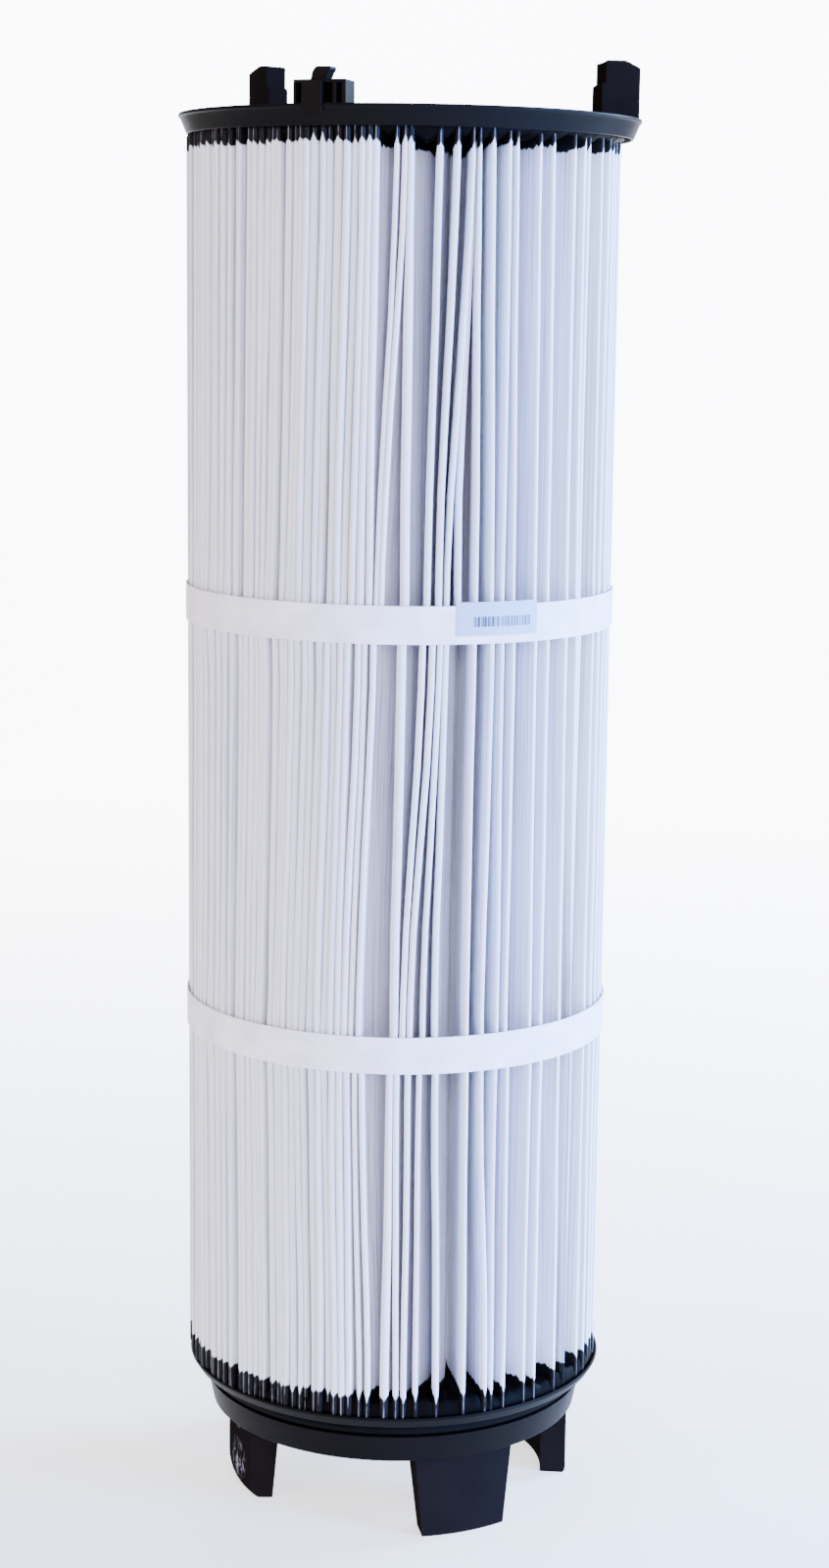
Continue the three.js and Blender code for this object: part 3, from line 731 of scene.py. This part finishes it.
def lay_on_bundle(bm):
    """Moves a band from a true circle on to the ring of pleats, and unrolls it into a UV map in metres."""
    for vert in bm.verts:
        angle = math.degrees(math.atan2(vert.co.x, -vert.co.y))
        flat = Vector((vert.co.x, vert.co.y))
        flat += flat.normalized() * bundle_shift(angle, vert.co.z)
        vert.co = (flat.x, flat.y, vert.co.z)
    band = bm.loops.layers.uv.new("band")
    for face in bm.faces:
        middle = face.calc_center_median()
        face_angle = math.atan2(middle.x, -middle.y)
        for loop in face.loops:
            angle = math.atan2(loop.vert.co.x, -loop.vert.co.y)
            if angle - face_angle > math.pi:
                angle -= 2 * math.pi
            if face_angle - angle > math.pi:
                angle += 2 * math.pi
            loop[band].uv = (angle * band_radius, loop.vert.co.z / 1000)


for name, low in (("upper", 525), ("lower", 284.2)):
    high = low + strap_height
    outer = strap_inner + strap_thickness
    bm = swept([
        (strap_inner, low), (outer, low), (outer, low + 7), (outer, low + 14), (outer, high),
        (strap_inner, high), (strap_inner, low + 14), (strap_inner, low + 7),
    ], steps=192)
    soften(bm, 0.25, 2, sharp=60)
    lay_on_bundle(bm)
    strap = piece("band_" + name, bm, web, ["strap_" + name])
    bm = swept([
        (outer, low + 0.5), (outer + strap_thickness, low + 0.5),
        (outer + strap_thickness, high - 0.5), (outer, high - 0.5),
    ], splice_angle - splice_sweep / 2, splice_sweep, 12)
    soften(bm, 0.25, 2, sharp=60)
    lay_on_bundle(bm)
    tail = piece("band_tail_" + name, bm, web, ["strap_" + name + "_overlap"])

# ---- Label ----
# A pale blue paper label stuck to the upper strap. Its print is left out but for plain bars.

# Coated paper: smooth and slightly shiny, faintly clouded, with one row of plain printed bars.
paper, tree, shader = new_material("label_paper", {"Roughness": 0.5, "IOR": 1.45})
along = node(tree, "UVMap", {"uv_map": "band"}).outputs["UV"]
pulp = node(tree, "TexNoise", {"Scale": 500, "Detail": 3}, {"Vector": along}).outputs["Fac"]
tint = node(tree, "MixRGB", {"Color1": colour("#93A6C4"), "Color2": colour("#A3B4D0")}, {"Fac": pulp})
across = node(tree, "SeparateXYZ", {}, {"Vector": along})
stripes = node(
    tree, "TexNoise", {"noise_dimensions": "1D", "Scale": 1300, "Detail": 1}, {"W": across.outputs["X"]},
)
ink = node(tree, "MapRange", {"From Min": 0.47, "From Max": 0.5}, {"Value": stripes.outputs["Fac"]})
inked = ink.outputs["Result"]
# the printed block: which way, its middle and half its size, in metres along and up the label
for way, middle, half_size in (("X", 0.0562, 0.0178), ("Y", 0.5372, 0.0028)):
    off = node(tree, "Math", {"operation": "SUBTRACT", 1: middle}, {0: across.outputs[way]})
    away = node(tree, "Math", {"operation": "ABSOLUTE"}, {0: off.outputs["Value"]})
    within = node(tree, "Math", {"operation": "LESS_THAN", 1: half_size}, {0: away.outputs["Value"]})
    inked = node(tree, "Math", {"operation": "MULTIPLY"}, {0: inked, 1: within.outputs["Value"]})
    inked = inked.outputs["Value"]
printed = node(
    tree, "MixRGB", {"Color2": colour("#262D40")}, {"Fac": inked, "Color1": tint.outputs["Color"]},
)
tree.links.new(printed.outputs["Color"], shader.inputs["Base Color"])
bite = node(tree, "Bump", {"Strength": 0.1, "Distance": 0.0001}, {"Height": pulp})
tree.links.new(bite.outputs["Normal"], shader.inputs["Normal"])

label_low = 529.5
label_high = 548
label_on = strap_inner + strap_thickness
label_from = 13.2
label_sweep = 23.2
bm = swept([
    (label_on + 0.05, label_low), (label_on + 0.35, label_low),
    (label_on + 0.35, label_high), (label_on + 0.05, label_high),
], label_from, label_sweep, 16)
lay_on_bundle(bm)
label = piece("paper_label", bm, paper, ["label"])

# ---- Studio ----
# A pale matt floor, a bright backdrop and large soft lights: cooler from the right, warmer from the left.

# Backdrop paper: matt white, with a fine tooth. It is lit from behind where it rises out of sight.
floor_paper, tree, shader = new_material("backdrop_paper", {
    "Roughness": 0.9, "Emission Color": colour("#FFFFFF"),
})
place = node(tree, "TexCoord").outputs["Object"]
tooth = node(tree, "TexNoise", {"Scale": 300, "Detail": 3}, {"Vector": place}).outputs["Fac"]
tint = node(tree, "MixRGB", {"Color1": colour("#F4F4F4"), "Color2": colour("#FAFAFA")}, {"Fac": tooth})
tree.links.new(tint.outputs["Color"], shader.inputs["Base Color"])
back = node(tree, "SeparateXYZ", {}, {"Vector": place}).outputs["Y"]
rising = node(tree, "MapRange", {
    "interpolation_type": "SMOOTHSTEP", "From Min": -0.4, "From Max": 2.4, "To Min": 1.1, "To Max": 8,
}, {"Value": back})
tree.links.new(rising.outputs["Result"], shader.inputs["Emission Strength"])
sweep_length = 7.5
sweep_front = -3
sweep_half_width = 1.5
bend_from = 2.4
bend_radius = 1.2
bm = bmesh.new()
bmesh.ops.create_grid(bm, x_segments=4, y_segments=48, size=1)
for vert in bm.verts:
    across = vert.co.x * sweep_half_width
    run = (vert.co.y + 1) / 2 * sweep_length + sweep_front
    bend = max(0, run - bend_from)
    turn = min(math.pi / 2, bend / bend_radius)
    above = max(0, bend - bend_radius * math.pi / 2)
    if bend > 0:
        rise = bend_radius - bend_radius * math.cos(turn) + above
        vert.co = (across, bend_from + bend_radius * math.sin(turn), rise)
    else:
        vert.co = (across, run, 0)
mesh = bpy.data.meshes.new("sweep")
bm.to_mesh(mesh)
bm.free()
mesh.shade_smooth()
mesh.materials.append(floor_paper)
sweep = bpy.data.objects.new("sweep", mesh)
bpy.context.scene.collection.objects.link(sweep)

world = bpy.data.worlds.new("studio")
bpy.context.scene.world = world
world.use_nodes = True
sky = world.node_tree.nodes["Background"]
sky.inputs["Color"].default_value = colour("#FBFCFF")
sky.inputs["Strength"].default_value = 0.5


def softbox(name, place, aim, size, power, tint):
    """A square area light that points at a place."""
    data = bpy.data.lights.new(name, "AREA")
    data.size = size
    data.energy = power
    data.color = colour(tint)[:3]
    lamp = bpy.data.objects.new(name, data)
    bpy.context.scene.collection.objects.link(lamp)
    lamp.location = place
    lamp.rotation_euler = (Vector(aim) - Vector(place)).to_track_quat("-Z", "Y").to_euler()


softbox("key_right", (2.4, -1.1, 0.56), (0, 0, 0.45), 1.0, 470, "#74A4FF")
softbox("key_left", (-2.0, -1.6, 1.2), (0, 0, 0.42), 1.3, 42, "#FFDCD6")
softbox("front", (0.35, -2.4, 1.2), (0, 0, 0.42), 1.1, 72, "#D2D9FF")
softbox("rim_right", (2.1, 1.0, 1.0), (0.1, 0, 0.7), 0.8, 230, "#A8C8FF")

# the photo's camera, fitted to the circles of the caps
yaw, pitch, roll = (math.radians(a) for a in (-0.36977, 10.0016, 0.8163))
ahead = Vector((-math.sin(yaw), math.cos(yaw), 0))
side = Vector((math.cos(yaw), math.sin(yaw), 0))
look = ahead * math.cos(pitch) - Vector((0, 0, 1)) * math.sin(pitch)
above = ahead * math.sin(pitch) + Vector((0, 0, 1)) * math.cos(pitch)
right = side * math.cos(roll) + above * math.sin(roll)
up = -side * math.sin(roll) + above * math.cos(roll)
lens = bpy.data.cameras.new("camera")
lens.sensor_width = 36
lens.lens = 64.21
lens.clip_end = 50
camera = bpy.data.objects.new("camera", lens)
bpy.context.scene.collection.objects.link(camera)
stand = Matrix((right, up, -look)).transposed().to_4x4()
stand.translation = Vector((-0.00275, -1.62924, 0.714))
camera.matrix_world = stand
bpy.context.scene.camera = camera
